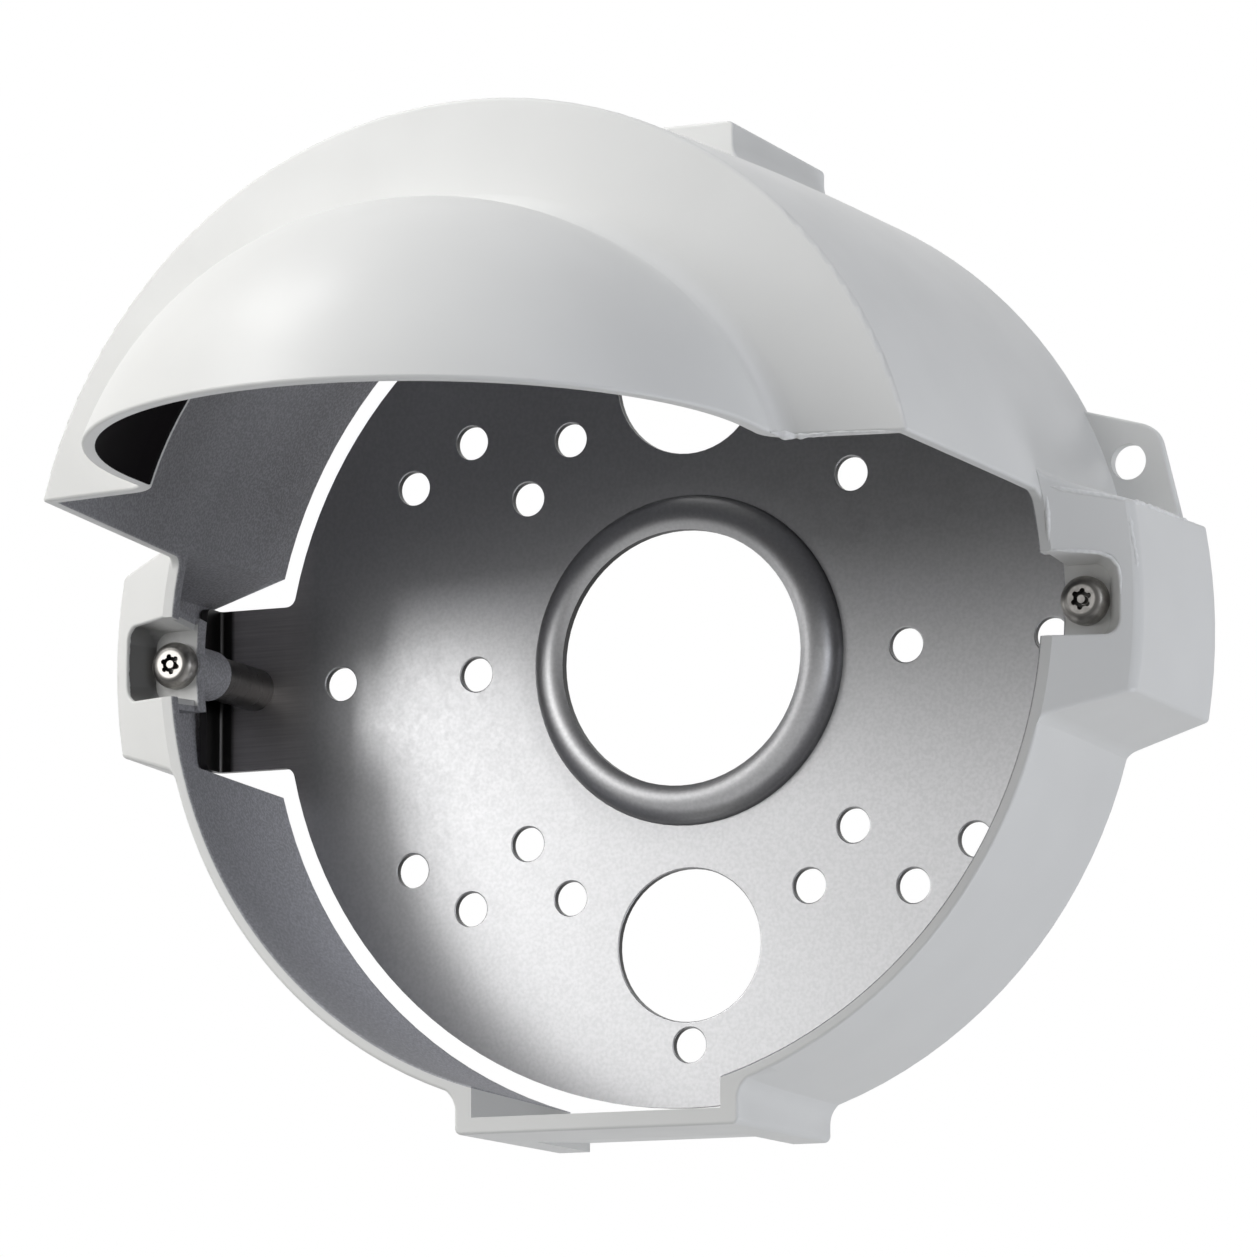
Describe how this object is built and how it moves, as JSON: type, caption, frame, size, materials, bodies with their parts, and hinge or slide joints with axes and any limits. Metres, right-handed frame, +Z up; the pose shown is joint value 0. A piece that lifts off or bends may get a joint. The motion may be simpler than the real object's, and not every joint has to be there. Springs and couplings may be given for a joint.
{
  "type": "security camera housing",
  "caption": "Weather shroud for a dome camera: an off-white moulded band and hood with a domed peak and side lugs, screwed to a round steel plate with wall box holes.",
  "frame": {"origin": "centre of the mounting plate on its wall face", "axes": "+X to the right and +Z up as seen from the front, +Y into the wall; the hood faces -Y"},
  "size_m": [0.1974, 0.1656, 0.1742],
  "materials": {
    "shroud_plastic": "satin moulded plastic with a fine grain",
    "plate_steel": "satin stainless sheet with a fine grain",
    "standoff_steel": "turned steel",
    "screw_steel": "bright steel"
  },
  "bodies": {
    "root": {"shroud": "shroud_plastic", "mounting_plate": "plate_steel", "standoff_right": "standoff_steel", "standoff_left": "standoff_steel", "screw_right": "screw_steel", "screw_left": "screw_steel"}
  },
  "joints": []
}
